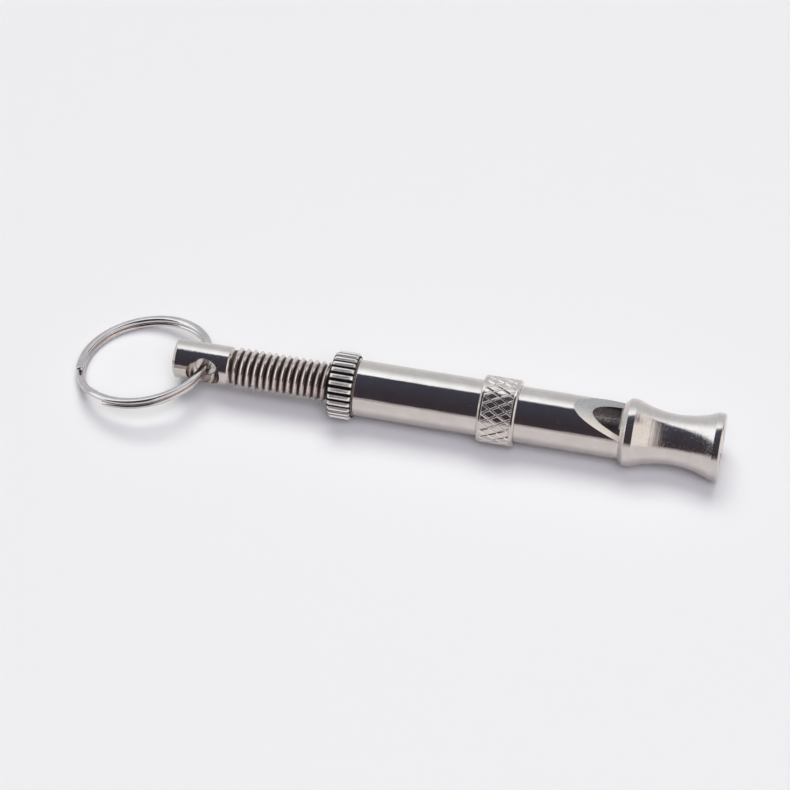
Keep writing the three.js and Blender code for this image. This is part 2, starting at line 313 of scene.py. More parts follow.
def round_normals(piece, least_radius, sharp):
    """Shades the level faces beyond least_radius as a true cylinder about the whistle's axis."""
    mesh = piece.data
    shade(mesh, sharp)
    normals = [Vector(corner.vector) for corner in mesh.corner_normals]
    for polygon in mesh.polygons:
        level = abs(polygon.normal.x) < 0.001
        if not level or axis_distance(polygon.center) <= least_radius:
            continue
        for loop in polygon.loop_indices:
            point = mesh.vertices[mesh.loops[loop].vertex_index].co
            outward = Vector((0, point.y - SHOULDER.y, point.z - SHOULDER.z))
            normals[loop] = outward.normalized()
    mesh.normals_split_custom_set(normals)


# ---------------------------------------------------------------- material helpers

class Nodes:
    """Short names for building a node tree."""

    def __init__(self, tree):
        self.tree = tree
        tree.nodes.clear()

    def add(self, kind, inputs=None, **settings):
        node = self.tree.nodes.new(kind)
        for key, value in settings.items():
            setattr(node, key, value)
        for key, value in (inputs or {}).items():
            self.feed(node.inputs[key], value)
        return node

    def feed(self, socket, value):
        if isinstance(value, bpy.types.NodeSocket):
            self.tree.links.new(value, socket)
        else:
            socket.default_value = value

    def math(self, operation, a, b=0.0):
        return self.add("ShaderNodeMath", {0: a, 1: b}, operation=operation).outputs[0]

    def step(self, value, low, high, to_low=0.0, to_high=1.0):
        """Smooth ramp of value from low..high to to_low..to_high."""
        inputs = {"Value": value, "From Min": low, "From Max": high}
        inputs |= {"To Min": to_low, "To Max": to_high}
        node = self.add("ShaderNodeMapRange", inputs, interpolation_type="SMOOTHSTEP")
        return node.outputs[0]

    def total(self, start, *terms):
        """start plus each term's value times its weight."""
        result = start
        for value, weight in terms:
            inputs = {0: value, 1: weight, 2: result}
            result = self.add("ShaderNodeMath", inputs, operation="MULTIPLY_ADD").outputs[0]
        return result

    def mix(self, factor, a, b):
        node = self.add("ShaderNodeMix", data_type="RGBA")
        self.feed(node.inputs[0], factor)
        self.feed(node.inputs[6], a)
        self.feed(node.inputs[7], b)
        return node.outputs[2]

    def noise(self, vector, scale, detail=3.0, roughness=0.5):
        inputs = {"Vector": vector, "Scale": scale, "Detail": detail, "Roughness": roughness}
        return self.add("ShaderNodeTexNoise", inputs).outputs["Fac"]

    def split(self, vector):
        return self.add("ShaderNodeSeparateXYZ", {0: vector}).outputs

    def vector(self, x, y, z):
        return self.add("ShaderNodeCombineXYZ", {0: x, 1: y, 2: z}).outputs[0]

    def bump(self, height, strength=1.0):
        """Normal of a surface whose height is in millimetres."""
        inputs = {"Height": height, "Distance": MM, "Strength": strength}
        return self.add("ShaderNodeBump", inputs).outputs[0]


def rgb(red, green, blue):
    return (red, green, blue, 1.0)


def start_material(name):
    """A material with its nodes, a Principled shader wired to the output, and whistle coordinates."""
    material = bpy.data.materials.new(name)
    material.use_nodes = True
    nodes = Nodes(material.node_tree)
    shader = nodes.add("ShaderNodeBsdfPrincipled")
    nodes.add("ShaderNodeOutputMaterial", {0: shader.outputs[0]})
    place = nodes.add("ShaderNodeTexCoord").outputs["Object"]
    offset = nodes.add("ShaderNodeVectorMath", {0: place, 1: SHOULDER}, operation="SUBTRACT")
    scale = {0: offset.outputs[0], "Scale": 1 / MM}
    scaled = nodes.add("ShaderNodeVectorMath", scale, operation="SCALE")
    return material, nodes, shader, scaled.outputs[0]


def finish_metal(nodes, shader, colour, roughness, normal):
    """Makes the shader a bare metal."""
    nodes.feed(shader.inputs["Base Color"], colour)
    nodes.feed(shader.inputs["Metallic"], 1.0)
    nodes.feed(shader.inputs["Roughness"], roughness)
    nodes.feed(shader.inputs["Normal"], normal)


def round_coordinates(nodes, place):
    """(station, angle, radius) about the whistle's axis, in millimetres and radians."""
    station, y, z = nodes.split(place)
    angle = nodes.math("ARCTAN2", y, z)
    squares = nodes.math("ADD", nodes.math("MULTIPLY", y, y), nodes.math("MULTIPLY", z, z))
    return station, angle, nodes.math("SQRT", squares)


# Patterns in the metal. A scale is the number of marks in a millimetre, and a stretch multiplies
# the coordinates first, so that the marks are drawn out along the smaller one. A roughness is added
# to the plain metal's, and a roughening is added after being multiplied by it.
CLOUD_SCALE = 0.45
WAVE_SCALE = 0.55
SCUFF_SCALE = 2.3
SCUFF_ROUGHENING = 0.9
LATHE_RING_SCALE = 2.6
POLISH_LINE_SCALE = 5.0
POLISH_LINE_STRETCH = {"along": 0.035, "around": 3.2}
STREAK_ROUGHENING = 1.2
SCRATCH_SCALE = 1.3
SCRATCH_STRETCH = {"with": 0.22, "across": 3.4}
SCRATCH_ROUGHNESS = 0.16
PIT_SCALE = 11.0
PIT_DEPTH = 0.0004
PIT_ROUGHNESS = 0.22
# Roughness added where the grooves are painted with shade.
SHADED_GROOVE_ROUGHNESS = 0.25

MILL_MARK_SCALE = 9.0
MILL_MARK_STRETCH = 0.06
MILL_MARK_HEIGHT = 0.006
GRAIN_SCALE = 5.5
GRAIN_HEIGHT = 0.012
STAIN_SCALE = 0.9
BRASS_RING_SCALE = 7.0


def scratch_marks(nodes, station, across):
    """Fine scratches slanting over the surface: 1 in a scratch, 0 beside it."""
    with_grain = nodes.math("ADD", station, across)
    against = nodes.math("SUBTRACT", station, across)
    slant = nodes.vector(
        nodes.math("MULTIPLY", with_grain, SCRATCH_STRETCH["with"]),
        nodes.math("MULTIPLY", against, SCRATCH_STRETCH["across"]),
        0.0,
    )
    return nodes.step(nodes.noise(slant, SCRATCH_SCALE, detail=2.0, roughness=0.6), 0.66, 0.72)


def unshaded_metal(nodes, radius, thickest, end):
    """Painted groove shade: 0 where it is thickest, 1 beyond its end, and 1 on bores well inside."""
    bore = thickest - 0.2
    over_grooves = nodes.step(radius, thickest, end)
    in_bore = nodes.step(radius, bore - 0.06, bore, 1.0, 0.0)
    return nodes.math("MAXIMUM", over_grooves, in_bore)


def plated(name, colours, roughness, turning=0.0, drawn=0.0, wobble=0.0, groove_shade=None):
    """Nickel plate, in soft patches of two colours.

    turning and drawn are the heights, in millimetres, of the lathe's rings and the polishing
    lines, and wobble is the height of the waves left by buffing. The last argument is painted
    shade for the grooves: its colour, and the radii where it is thickest and where it ends.
    """
    material, nodes, shader, place = start_material(name)
    station, angle, radius = round_coordinates(nodes, place)
    along = nodes.math("MULTIPLY", station, POLISH_LINE_STRETCH["along"])
    around = nodes.math("MULTIPLY", angle, POLISH_LINE_STRETCH["around"])

    rings = nodes.noise(nodes.vector(station, 0.0, 0.0), LATHE_RING_SCALE, roughness=0.6)
    lines = nodes.noise(nodes.vector(along, around, radius), POLISH_LINE_SCALE, roughness=0.75)
    waves = nodes.noise(place, WAVE_SCALE, roughness=0.6)
    pits = nodes.step(nodes.noise(place, PIT_SCALE, detail=2.0, roughness=0.7), 0.68, 0.8)
    scuffs = nodes.step(nodes.noise(place, SCUFF_SCALE, detail=5.0, roughness=0.65), 0.45, 0.75)
    streaks = nodes.step(lines, 0.45, 0.8)
    scratches = scratch_marks(nodes, station, nodes.math("MULTIPLY", angle, radius))
    clouds = nodes.step(nodes.noise(place, CLOUD_SCALE, detail=4.0, roughness=0.6), 0.35, 0.7)

    height = nodes.total(0.0, (rings, turning), (lines, drawn), (waves, wobble), (pits, -PIT_DEPTH))
    rough = nodes.total(
        roughness,
        (scuffs, SCUFF_ROUGHENING * roughness),
        (streaks, STREAK_ROUGHENING * roughness),
        (scratches, SCRATCH_ROUGHNESS),
        (pits, PIT_ROUGHNESS),
    )
    colour = nodes.mix(clouds, rgb(*colours[0]), rgb(*colours[1]))
    # Painted shade: the metal is darkened towards the groove roots, by its distance from the axis, and
    # made rougher there.
    if groove_shade:
        shade_colour, thickest, end = groove_shade
        unshaded = unshaded_metal(nodes, radius, thickest, end)
        colour = nodes.mix(unshaded, rgb(*shade_colour), colour)
        rough = nodes.total(rough, (nodes.math("SUBTRACT", 1.0, unshaded), SHADED_GROOVE_ROUGHNESS))
    finish_metal(nodes, shader, colour, rough, nodes.bump(height))
    return material


def milled_flat():
    """The sloping flat of the window: satin, with the mill's lines across it. It is painted darker
    on its +Y side and lighter on its -Y side: painted shade and painted light."""
    material, nodes, shader, place = start_material("window_flat")
    station, y, _ = nodes.split(place)
    across = nodes.math("MULTIPLY", y, MILL_MARK_STRETCH)
    marks = nodes.noise(nodes.vector(station, across, 0.0), MILL_MARK_SCALE, roughness=0.7)
    grain = nodes.noise(place, GRAIN_SCALE, detail=4.0, roughness=0.75)
    speckle = nodes.step(grain, 0.3, 0.7)
    painted_shade_side = nodes.mix(speckle, rgb(*FLAT_PAINTED_SHADE[0]), rgb(*FLAT_PAINTED_SHADE[1]))
    bright = nodes.mix(speckle, rgb(*FLAT_PAINTED_LIGHT[0]), rgb(*FLAT_PAINTED_LIGHT[1]))
    # Painted shade towards +Y and painted light towards -Y across the flat.
    colour = nodes.mix(nodes.step(y, 1.0, -3.2), painted_shade_side, bright)
    roughness = nodes.step(marks, 0.3, 0.7, 0.34, 0.48)
    height = nodes.total(0.0, (marks, MILL_MARK_HEIGHT), (grain, GRAIN_HEIGHT))
    finish_metal(nodes, shader, colour, roughness, nodes.bump(height))
    return material


def turned_brass():
    """Brass with the lathe's rings on it, stained in patches."""
    material, nodes, shader, place = start_material("turned_brass")
    station, _, radius = round_coordinates(nodes, place)
    rings = nodes.noise(nodes.vector(station, radius, 0.0), BRASS_RING_SCALE, roughness=0.7)
    stain = nodes.noise(place, STAIN_SCALE, detail=4.0)
    colour = nodes.mix(nodes.step(stain, 0.4, 0.7), rgb(*BRASS[0]), rgb(*BRASS[1]))
    roughness = nodes.step(stain, 0.3, 0.8, 0.22, 0.42)
    finish_metal(nodes, shader, colour, roughness, nodes.bump(rings, strength=0.004))
    return material


# ---------------------------------------------------------------- the pieces

def barrel(outside, inside, flat):
    """Thin tube with the voicing window cut in its top."""
    tapped_end = BARREL_BACK + TAPPED_LENGTH
    profile = rounded([
        (BARREL_BACK, TAPPED_RADIUS),
        (BARREL_BACK, BARREL_RADIUS - BARREL_CHAMFER),
        (BARREL_BACK + BARREL_CHAMFER, BARREL_RADIUS),
        (BARREL_FRONT, BARREL_RADIUS),
        (BARREL_FRONT, BORE_RADIUS),
        (tapped_end, BORE_RADIUS),
        (tapped_end, TAPPED_RADIUS),
        (BARREL_BACK, TAPPED_RADIUS),
    ], radius=0.05)
    piece = build("barrel_tube", *lathe(profile, segments=192), [outside, inside, flat])
    cut(piece, window_cutter())
    slope = Vector((math.sin(WINDOW_SLOPE), 0, math.cos(WINDOW_SLOPE)))
    for polygon in piece.data.polygons:
        station = (polygon.center.x - SHOULDER.x) / MM
        if polygon.normal.dot(slope) > 0.9999 and station > WINDOW_BACK:
            polygon.material_index = 2
        elif axis_distance(polygon.center) < BARREL_RADIUS - 0.3:
            polygon.material_index = 1
        else:
            polygon.material_index = 0
    round_normals(piece, BARREL_RADIUS - 0.02, sharp=20)
    return piece


def window_cutter():
    """Wedge whose lower face is the window's sloping flat."""
    run = 8.5
    top = 6
    half = 5
    lowest = BARREL_RADIUS + WINDOW_BACK * math.tan(WINDOW_SLOPE)
    outline = [(0, lowest), (0, top), (-run, top), (-run, lowest + run * math.tan(WINDOW_SLOPE))]
    loops = [[(s, y, z) for s, z in outline] for y in (-half, half)]
    points, faces = skin(loops)
    sides = [[0, 1, 2, 3], [4, 5, 6, 7]]
    return build("window_cutter", points, faces + sides, [])


def waist(rim_station, steps=24):
    """Half of the waist's arc, from its narrowest point out to a rim."""
    run = abs(rim_station - WAIST_STATION)
    rise = REST_RADIUS - WAIST_RADIUS
    radius = (run * run + rise * rise) / (2 * rise)
    side = math.copysign(1, rim_station - WAIST_STATION)
    sweep = math.asin(run / radius)
    arc = []
    for i in range(1, steps + 1):
        angle = sweep * i / steps
        station = WAIST_STATION + side * radius * math.sin(angle)
        arc.append((station, WAIST_RADIUS + radius * (1 - math.cos(angle))))
    return arc


def mouthpiece(finish):
    """Waisted turning with a socket for the barrel, a plenum and an air bore."""
    socket = BARREL_RADIUS + SEATED_CLEARANCE
    socket_end = BARREL_FRONT + FACE_GAP
    profile = [
        (0, socket),
        (0, REST_RADIUS - BACK_RIM_CHAMFER),
        (BACK_RIM_CHAMFER, REST_RADIUS),
        *reversed(waist(BACK_RIM_END)),
        (WAIST_STATION, WAIST_RADIUS),
        *waist(FRONT_RIM_START),
        (LIPS - FRONT_RIM_CHAMFER, REST_RADIUS),
        (LIPS, REST_RADIUS - FRONT_RIM_CHAMFER),
        (LIPS, LIP_BORE_RADIUS),
        (LIPS - LIP_FLARE_LENGTH, AIR_BORE_RADIUS),
        (PLENUM_END, AIR_BORE_RADIUS),
        (PLENUM_END, BORE_RADIUS),
        (socket_end, BORE_RADIUS),
        (socket_end, socket),
        (0, socket),
    ]
    points, faces = lathe(rounded(profile, radius=0.07), segments=192)
    return build("mouthpiece_turning", points, faces, [finish])


def windway_plug(finish):
    """Round plug with a flat along its top. The gap over the flat is the windway."""
    flat = BORE_RADIUS - WINDWAY_HEIGHT
    half = math.acos(flat / PLUG_RADIUS)
    edge = 0.08
    steps = 96

    def outline(station, inset):
        radius = PLUG_RADIUS - inset
        loop = []
        for k in range(steps + 1):
            angle = half + (TAU - 2 * half) * k / steps
            z = min(radius * math.cos(angle), flat - inset)
            loop.append((station, radius * math.sin(angle), z))
        return loop

    loops = [
        [(PLUG_BACK, 0, 0)],
        outline(PLUG_BACK, edge),
        outline(PLUG_BACK + edge, 0),
        outline(PLUG_FRONT - edge, 0),
        outline(PLUG_FRONT, edge),
        [(PLUG_FRONT, 0, 0)],
    ]
    return build("windway_block", *skin(loops), [finish])


def zigzag(value):
    """0 on whole numbers, 1 halfway between them."""
    return 1 - abs(2 * (value % 1) - 1)


def grip_band(finish):
    """Knurled sleeve: two families of rounded grooves that cross, with smooth diamonds between them."""
    inner = BARREL_RADIUS + SEATED_CLEARANCE
    first = BAND_BACK + BAND_RIM
    last = BAND_FRONT - BAND_RIM
    helix = math.tan(KNURL_ANGLE) / BAND_RADIUS
    half_pitch = math.pi * BAND_RADIUS / KNURL_STARTS * math.cos(KNURL_ANGLE)

    def groove(place):
        distance = min(1, zigzag(place) * half_pitch / KNURL_GROOVE)
        return (math.cos(math.pi * distance) + 1) / 2

    def knurled(station):
        slant = (station - first) * helix * KNURL_STARTS / TAU

        def radius(angle):
            turns = angle * KNURL_STARTS / TAU
            depth = max(groove(turns + slant), groove(turns - slant))
            return BAND_RADIUS - KNURL_SINK - KNURL_DEPTH * depth

        return radius

    segments = KNURL_STARTS * 28
    rows = 84
    under_knurl = BAND_RADIUS - 0.4
    back = [
        (BAND_BACK, BAND_RADIUS - BAND_CHAMFER),
        (BAND_BACK + BAND_CHAMFER, BAND_RADIUS),
        (first, BAND_RADIUS),
    ]
    front = [(BAND_BACK + BAND_FRONT - s, r) for s, r in reversed(back)]
    # The rims are rounded as if they had a step down to the knurl, and that step is left out.
    back_rim = rounded([(BAND_BACK, inner), *back, (first, under_knurl)], EDGE_ROUND)[:-1]
    front_rim = rounded([(last, under_knurl), *front, (BAND_FRONT, inner)], EDGE_ROUND)[1:]
    loops = [circle(s, r, segments) for s, r in back_rim]
    for i in range(rows + 1):
        station = first + (last - first) * i / rows
        loops.append(circle(station, knurled(station), segments))
    loops += [circle(s, r, segments) for s, r in front_rim]
    return build("grip_band_knurl", *skin(loops, wrap=True), [finish], sharp=60)


def lock_nut(finish):
    """Nut with straight ridges, chamfered at both faces."""
    bore = CREST_RADIUS + NUT_CLEARANCE
    segments = NUT_RIDGES * 24
    chamfer_rows = 8

    def arc(across):
        return 1 - math.sqrt(1 - NUT_CROWN_BOW * across ** 2)

    def ridge(angle):
        place = zigzag(angle * NUT_RIDGES / TAU)
        if place < NUT_TOP:
            return NUT_RADIUS - NUT_CROWN * arc(place / NUT_TOP) / arc(1)
        fall = min(1, (place - NUT_TOP) / NUT_FLANK)
        return NUT_RADIUS - NUT_CROWN - (NUT_GROOVE_DEPTH - NUT_CROWN) * fall

    def ridged(station, inset):
        limit = NUT_RADIUS - NUT_CHAMFER + inset
        return circle(station, lambda angle: min(ridge(angle), limit), segments)

    insets = [NUT_CHAMFER * i / chamfer_rows for i in range(chamfer_rows + 1)]
    loops = [
        circle(NUT_BACK, bore + NUT_COUNTERSINK, segments),
        *[ridged(NUT_BACK + inset, inset) for inset in insets],
        *[ridged(NUT_FRONT - inset, inset) for inset in reversed(insets)],
        circle(NUT_FRONT, bore + NUT_COUNTERSINK, segments),
        circle(NUT_FRONT - NUT_COUNTERSINK, bore, segments),
        circle(NUT_BACK + NUT_COUNTERSINK, bore, segments),
    ]
    return build("lock_nut_ridged", *skin(loops, wrap=True), [finish], sharp=35)


def thread(finish):
    """Threaded shank. Its rows of points follow the helix, and stop at flat ends."""
    segments = 72
    steps = 18
    back = HEAD_FRONT - HIDDEN_OVERLAP
    front = NECK_START
    first_crest = HEAD_FRONT + 0.8
    depth = CREST_RADIUS - ROOT_RADIUS
    steepest = math.asin(THREAD_SHARPNESS)

    def radius(station, angle):
        """Straight flanks with a rounded crest and root, cut down at both ends. At a sharpness of
        1 the crest and root would be sharp."""
        place = (station - first_crest) / PITCH - angle / TAU
        height = (1 + math.asin(THREAD_SHARPNESS * math.cos(TAU * place)) / steepest) / 2
        run_out = (station - HEAD_FRONT - RUN_OUT_START) / RUN_OUT_LENGTH
        lead_in = (front - station) / LEAD_IN_LENGTH + LEAD_IN_HEIGHT
        return ROOT_RADIUS + depth * max(0, min(height, run_out, lead_in))

    first = math.floor((back - first_crest) / PITCH) - 2
    last = math.ceil((front - first_crest) / PITCH) + 2
    rows = [PITCH * (turn + i / steps - 0.5) for turn in range(first, last) for i in range(steps)]
    points = []
    for k in range(segments + 1):
        angle = TAU * k / segments
        for row in rows:
            station = min(max(first_crest + row + PITCH * k / segments, back), front)
            r = radius(station, angle)
            points.append((station, r * math.sin(angle), r * math.cos(angle)))
    count = len(rows)
    faces = []
    for k in range(segments):
        for i in range(count - 1):
            here = k * count + i
            faces.append([here, here + 1, here + count + 1, here + count])
    piece = build("screw_thread", points, faces, [finish])
    close_ends(piece)
    shade(piece.data, 50)
    return piece


def close_ends(piece):
    """Drops the squashed faces left at the ends, and caps the open loops. Sizes are in metres."""
    same_place = 1e-8
    nearly_same_place = 2e-7
    squashed_area = 1e-14
    work = bmesh.new()
    work.from_mesh(piece.data)
    bmesh.ops.remove_doubles(work, verts=work.verts, dist=same_place)
    flat = [face for face in work.faces if face.calc_area() < squashed_area]
    bmesh.ops.delete(work, geom=flat, context="FACES")
    bmesh.ops.remove_doubles(work, verts=work.verts, dist=nearly_same_place)
    loose = [vert for vert in work.verts if not vert.link_faces]
    bmesh.ops.delete(work, geom=loose, context="VERTS")
    bmesh.ops.holes_fill(work, edges=[edge for edge in work.edges if edge.is_boundary])
    bmesh.ops.recalc_face_normals(work, faces=work.faces)
    work.to_mesh(piece.data)
    work.free()


def screw_head(finish):
    """Plain head with the ring's hole across it."""
    profile = [
        (SCREW_BACK, 0),
        (SCREW_BACK, HEAD_RADIUS - HEAD_CHAMFER),
        (SCREW_BACK + HEAD_CHAMFER, HEAD_RADIUS),
        (HEAD_FRONT - HEAD_CHAMFER, HEAD_RADIUS),
        (HEAD_FRONT, HEAD_RADIUS - HEAD_CHAMFER),
        (HEAD_FRONT, 0),
    ]
    points, faces = lathe(rounded(profile, radius=0.08), segments=128)
    piece = build("screw_head", points, faces, [finish])
    cut(piece, cross_hole_cutter())
    round_normals(piece, HEAD_RADIUS - 0.004, sharp=30)
    return piece


def cross_hole_cutter():
    """Spool across the head: a plain hole with a ball-cut hollow at each mouth."""
    reach = HEAD_RADIUS + 0.4
    deepest = math.acos(CROSS_HOLE_RADIUS / MOUTH_RADIUS)
    hollow_steps = 14
    segments = 96
    half = [(reach, 0), (reach, MOUTH_RADIUS)]
    for i in range(hollow_steps + 1):
        angle = deepest * i / hollow_steps
        y = HEAD_RADIUS - MOUTH_RADIUS * math.sin(angle)
        half.append((y, MOUTH_RADIUS * math.cos(angle)))
    profile = rounded([*half, *[(-y, r) for y, r in reversed(half)]], radius=0.25, steps=5)
    roll = Matrix.Rotation(-HOLE_ROLL, 3, "X")
    loops = []
    for y, r in profile:
        angles = [TAU * k / segments for k in range(segments if r > 0 else 1)]
        points = [Vector((HOLE_STATION + r * math.cos(a), y, r * math.sin(a))) for a in angles]
        loops.append([tuple(roll @ point) for point in points])
    return build("cross_hole_cutter", *skin(loops), [])


def screw_tip(finish):
    """Neck and collar that hold the piston."""
    inside_thread = NECK_START - 0.5
    neck_end = PISTON_BACK + PISTON_LIP + 0.1
    profile = [
        (inside_thread, 0),
        (inside_thread, NECK_RADIUS),
        (neck_end, NECK_RADIUS),
        (neck_end, COLLAR_RADIUS),
        (SCREW_FRONT, COLLAR_RADIUS),
        (SCREW_FRONT, 0),
    ]
    points, faces = lathe(rounded(profile, radius=0.1), segments=64)
    return build("screw_tip", points, faces, [finish])


def piston(finish):
    """Plug with a lip that hooks behind the screw's collar."""
    lip_radius = NECK_RADIUS + CRIMP_CLEARANCE
    socket_radius = COLLAR_RADIUS + CRIMP_CLEARANCE
    lip_end = PISTON_BACK + PISTON_LIP
    socket_end = lip_end + COLLAR_LENGTH + 2 * CRIMP_CLEARANCE
    profile = [
        (socket_end, 0),
        (socket_end, socket_radius),
        (lip_end, socket_radius),
        (lip_end, lip_radius),
        (PISTON_BACK, lip_radius),
        (PISTON_BACK, PISTON_RADIUS - PISTON_CHAMFER),
        (PISTON_BACK + PISTON_CHAMFER, PISTON_RADIUS),
        (PISTON_FRONT - PISTON_CHAMFER, PISTON_RADIUS),
        (PISTON_FRONT, PISTON_RADIUS - PISTON_CHAMFER),
        (PISTON_FRONT, 0),
    ]
    points, faces = lathe(rounded(profile, EDGE_ROUND), segments=96)
    return build("piston_plug", points, faces, [finish])


def ring_turn():
    """Rotation from a level ring to the ring as it leans on the table, about its place in the
    cross hole."""
    low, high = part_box("split_ring")
    drop = (SHOULDER.z - (low.z + high.z) / 2) / MM
    tilt = math.asin(drop / RING_RADIUS / math.cos(HOLE_ROLL))
    return Matrix.Rotation(-HOLE_ROLL, 3, "X") @ Matrix.Rotation(-tilt, 3, "Y")


def wire_section(count):
    """Outline of the wire: a rounded rectangle with slightly bowed sides."""
    power = 2.5
    outline = []
    for k in range(count):
        angle = TAU * (k + 0.5) / count
        u = math.cos(angle)
        v = math.sin(angle)
        reach = (abs(u) ** power + abs(v) ** power) ** (-1 / power)
        outline.append((u * reach * WIRE_WIDTH / 2, v * reach * WIRE_HEIGHT / 2))
    return outline


def split_ring(finish):
    """Two turns of wire: one level turn, a jog up by one wire, and a second level turn."""
    steps_per_turn = 220
    start = RING_SPLIT + RING_END
    sweep = 2 * (TAU - RING_END)
    steps = round(steps_per_turn * sweep / TAU)
    section = wire_section(22)
    turn = ring_turn()
    pivot = Vector((HOLE_STATION, 0, 0))

    def rise_at(angle):
        t = (angle - start - sweep / 2 + RING_JOG) / (2 * RING_JOG)
        t = min(1, max(0, t))
        return (t * t * (3 - 2 * t) - 0.5) * TURN_SPACING

    def loop(angle, scale):
        """The wire's outline at an angle round the ring, or one point where the scale is 0."""
        points = []
        for across, up in section if scale > 0 else section[:1]:
            r = RING_RADIUS + across * scale
            rise = rise_at(angle) + up * scale
            local = Vector((r * math.cos(angle) - RING_RADIUS, r * math.sin(angle), rise))
            points.append(tuple(pivot + turn @ local))
        return points

    end_steps = 5
    corner = [math.pi / 2 * i / end_steps for i in range(end_steps)]
    rounding = [(WIRE_END_ROUND * (1 - math.cos(a)), math.sin(a)) for a in corner]
    middle = sweep - 2 * WIRE_END_ROUND
    loops = [
        *[loop(start + inset, scale) for inset, scale in rounding],
        *[loop(start + WIRE_END_ROUND + middle * i / steps, 1.0) for i in range(steps + 1)],
        *[loop(start + sweep - inset, scale) for inset, scale in reversed(rounding)],
    ]
    return build("split_ring_wire", *skin(loops), [finish], sharp=50)


# ---------------------------------------------------------------- put together

# Each finish is a pair of colours, which its patches run between.
NICKEL = ((0.60, 0.545, 0.51), (0.64, 0.59, 0.56))
BRIGHT_NICKEL = ((0.84, 0.79, 0.76), (0.90, 0.85, 0.82))
THREAD_NICKEL = ((0.70, 0.63, 0.60), (0.78, 0.71, 0.68))
BORE_NICKEL = ((0.65, 0.60, 0.59), (0.60, 0.55, 0.54))
# Painted shade: the plug's nickel, made dark for the shade inside the barrel.
PLUG_NICKEL_PAINTED_SHADE = ((0.24, 0.215, 0.21), (0.38, 0.34, 0.33))
# Painted shade for the window flat's +Y side, and painted light for its -Y side.
FLAT_PAINTED_SHADE = ((0.34, 0.33, 0.325), (0.58, 0.565, 0.56))
FLAT_PAINTED_LIGHT = ((0.82, 0.69, 0.59), (1.0, 0.90, 0.82))
BRASS = ((0.72, 0.50, 0.22), (0.55, 0.36, 0.16))
RING_STEEL = ((0.54, 0.50, 0.49), (0.62, 0.58, 0.57))
# Painted shade for the grooves: near black on the nut, dark brown at the thread's roots.
NUT_GROOVE_SHADE_COLOUR = (0.035, 0.028, 0.028)
THREAD_ROOT_SHADE_COLOUR = (0.10, 0.072, 0.066)


def add(piece, body, node=None):
    """Rides the piece on its body, and hides the CAD node that it stands for."""
    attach(piece, body)
    if node:
        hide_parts(node)


def whistle():
    """Every piece, in its finish, on its body."""
    # Painted shade in the grooves of the nut and of the thread: its colour, and the radii where it is
    # thickest and where it ends.
    nut_groove_shade = (NUT_GROOVE_SHADE_COLOUR, NUT_RADIUS - 0.40, NUT_RADIUS - 0.24)
    thread_root_shade = (THREAD_ROOT_SHADE_COLOUR, ROOT_RADIUS + 0.06, CREST_RADIUS - 0.22)
    polish = plated("polished_nickel", NICKEL, 0.075, turning=0.0008, drawn=0.006, wobble=0.010)
    lipped = plated("mouthpiece_nickel", NICKEL, 0.13, turning=0.022, drawn=0.003, wobble=0.012)
    bore = plated("bore_nickel", BORE_NICKEL, 0.24, turning=0.004)
    # Painted shade: the plug's nickel is made dark, standing in for the shade inside the barrel.
    plug = plated("plain_nickel", PLUG_NICKEL_PAINTED_SHADE, 0.26, turning=0.002, drawn=0.001)
    knurl = plated("knurled_nickel", NICKEL, 0.11, wobble=0.003)
    ridged = plated("ridged_nickel", BRIGHT_NICKEL, 0.30, turning=0.002, wobble=0.002, groove_shade=nut_groove_shade)
    headed = plated("head_nickel", NICKEL, 0.10, turning=0.016, drawn=0.004, wobble=0.018)
    threaded = plated("threaded_nickel", THREAD_NICKEL, 0.15, groove_shade=thread_root_shade)
    wire = plated("ring_steel", RING_STEEL, 0.07, wobble=0.002)

    add(barrel(polish, bore, milled_flat()), "barrel", "barrel")
    add(mouthpiece(lipped), "barrel", "mouthpiece")
    add(windway_plug(plug), "barrel", "windway_plug")
    add(grip_band(knurl), "barrel", "grip_band")
    add(lock_nut(ridged), "lock_nut", "lock_nut")
    add(screw_head(headed), "screw", "tuning_screw")
    add(thread(threaded), "screw")
    add(screw_tip(threaded), "screw")
    add(piston(turned_brass()), "piston", "tuning_piston")
    add(split_ring(wire), "ring", "split_ring")


# ---------------------------------------------------------------- studio

# FADE_START and FADE_END are the only lengths here in millimetres, from the mouthpiece's shoulder.
BACKDROP = (0.862, 0.858, 0.882)
PAPER = ((0.875, 0.875, 0.895), (0.885, 0.885, 0.905))
FIBRE_SCALE = 1.6
FADE_START = 130
FADE_END = 450
TABLE_HALF = 3.0


def table_paper():
    """Pale paper. Far from the whistle the camera sees it fade into the backdrop, so no horizon
    shows."""
    material, nodes, shader, place = start_material("table_paper")
    fibre = nodes.noise(place, FIBRE_SCALE, detail=4.0, roughness=0.6)
    nodes.feed(shader.inputs["Base Color"], nodes.mix(fibre, rgb(*PAPER[0]), rgb(*PAPER[1])))
    nodes.feed(shader.inputs["Roughness"], 0.9)
    nodes.feed(shader.inputs["Specular IOR Level"], 0.1)
    distance = nodes.add("ShaderNodeVectorMath", {0: place}, operation="LENGTH").outputs["Value"]
    seen = nodes.add("ShaderNodeLightPath").outputs["Is Camera Ray"]
    faded = nodes.math("MULTIPLY", nodes.step(distance, FADE_START, FADE_END), seen)
    backdrop = nodes.add("ShaderNodeEmission", {"Color": rgb(*BACKDROP)}).outputs[0]
    inputs = {0: faded, 1: shader.outputs[0], 2: backdrop}
    blend = nodes.add("ShaderNodeMixShader", inputs)
    nodes.feed(nodes.tree.get_output_node("ALL").inputs[0], blend.outputs[0])
    return material


